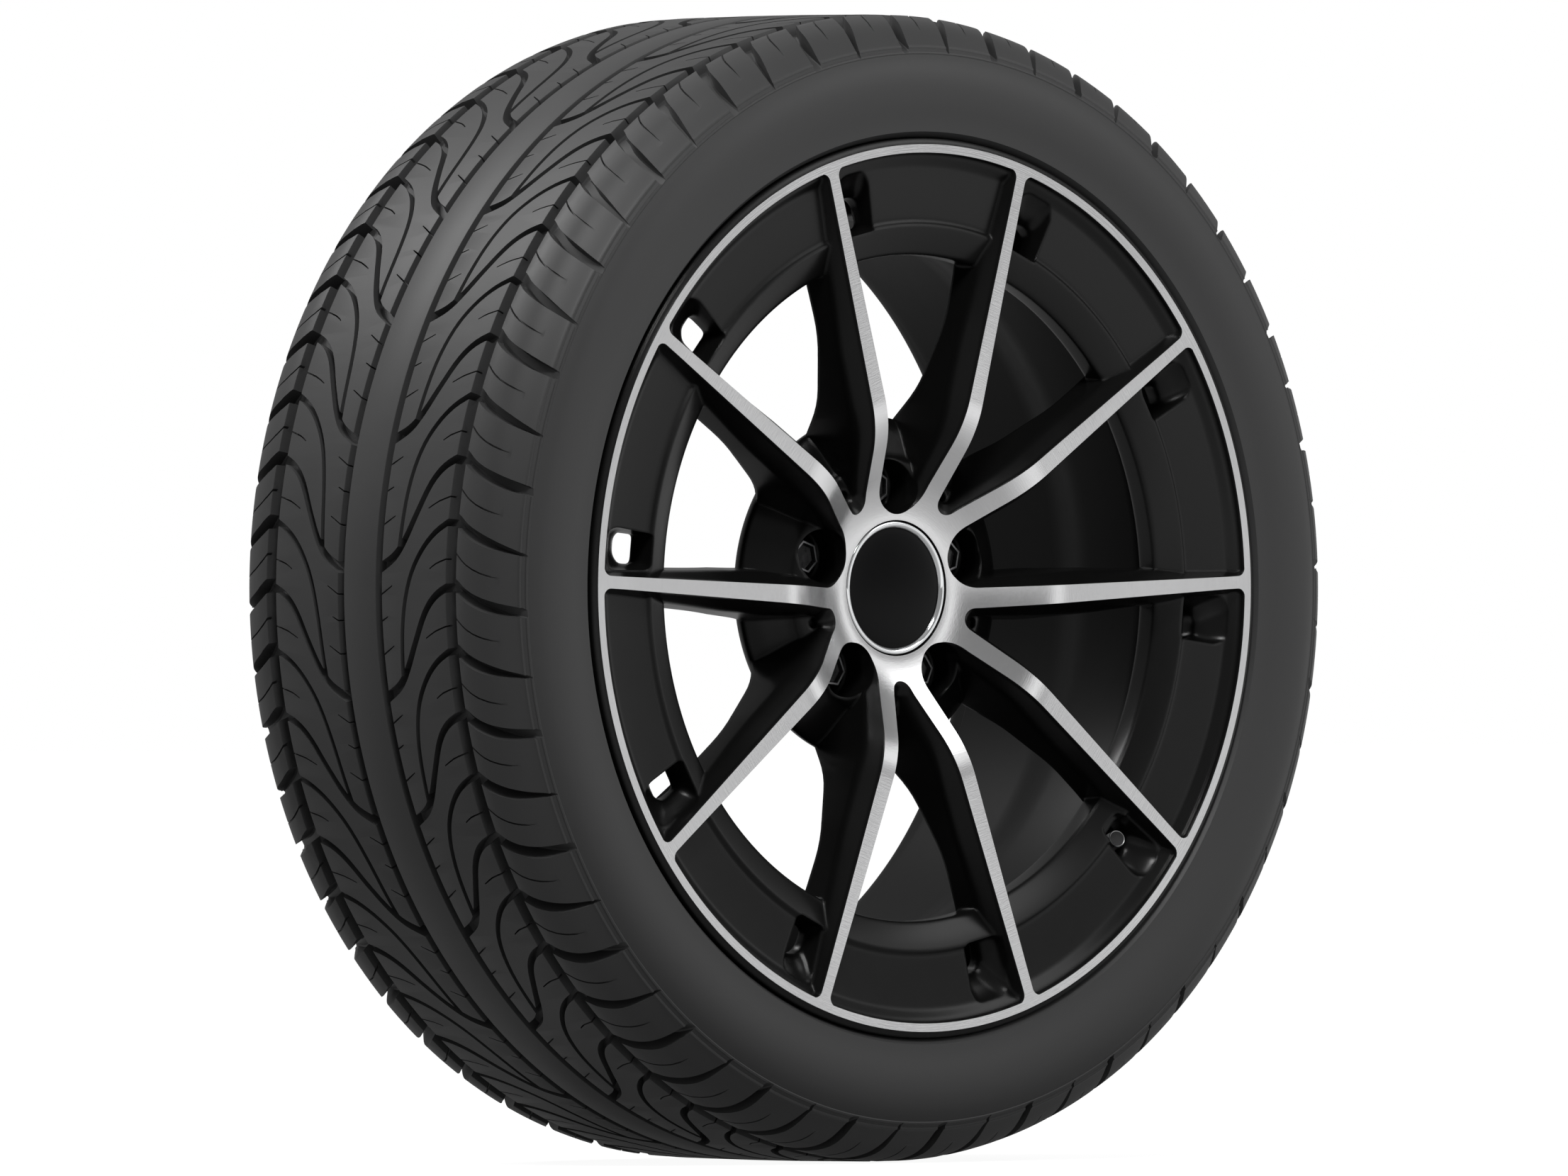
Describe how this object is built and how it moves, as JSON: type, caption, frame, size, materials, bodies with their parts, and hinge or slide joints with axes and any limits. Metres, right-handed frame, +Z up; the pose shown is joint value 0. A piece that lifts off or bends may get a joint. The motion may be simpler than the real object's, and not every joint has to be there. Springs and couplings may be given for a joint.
{
  "type": "alloy wheel with tyre",
  "caption": "Alloy car wheel with paired straight spokes, bright turned faces, sunken rim panels and a low-profile tyre with a directional tread, bolts, cap and valve.",
  "frame": {"origin": "on the axle, midway between the two rim flanges", "axes": "+Y along the axle towards the hub, so the outer face looks to -Y; +Z up"},
  "size_m": [0.6354, 0.234, 0.6354],
  "materials": {
    "black_alloy": "black paint with diamond-turned bright faces",
    "tyre_rubber": "satin black rubber",
    "black_steel": "black coated steel",
    "black_plastic": "moulded plastic",
    "chrome_trim": "chrome",
    "gloss_black": "gloss black",
    "spring_steel": "bare steel",
    "valve_alloy": "anodised grey",
    "black_rubber": "rubber",
    "brass": "brass",
    "red_rubber": "rubber",
    "cap_metal": "knurled grey metal"
  },
  "bodies": {
    "wheel": {"alloy_wheel": "black_alloy", "tyre": "tyre_rubber", "wheel_bolts": "black_steel", "cap_body": "black_plastic", "cap_trim_ring": "chrome_trim", "cap_face_disc": "gloss_black", "cap_spring_ring": "spring_steel", "valve_stem": "valve_alloy", "valve_grommet": "black_rubber", "valve_washer": "valve_alloy", "valve_nut": "valve_alloy", "valve_core_barrel": "brass", "valve_core_spring": "spring_steel", "pressure_sensor": "black_plastic", "sensor_screw": "spring_steel"},
    "core_pin": {"valve_core_pin": "brass", "valve_core_seal": "red_rubber"},
    "cap_carriage": {"valve_cap_seal": "black_rubber"},
    "dust_cap": {"valve_cap": "cap_metal", "valve_cap_disc": "gloss_black"}
  },
  "joints": [
    {"name": "cap_lift", "type": "slide", "parent": "wheel", "child": "cap_carriage", "axis": [-0.316, -0.9063, 0.2806], "range_m": [0, 0.00476]},
    {"name": "cap_turn", "type": "hinge", "parent": "cap_carriage", "child": "dust_cap", "pos_m": [0.16676, -0.07093, -0.14806], "axis": [-0.316, -0.9063, 0.2806], "range_deg": [0, 2160]},
    {"name": "core_press", "type": "slide", "parent": "wheel", "child": "core_pin", "axis": [0.316, 0.9063, -0.2806], "range_m": [0, 0.001], "deforming": ["valve_core_spring"]}
  ],
  "couplings": [
    {"joint": "cap_turn", "follows": "cap_lift", "rad_per_m": 7913.3}
  ]
}
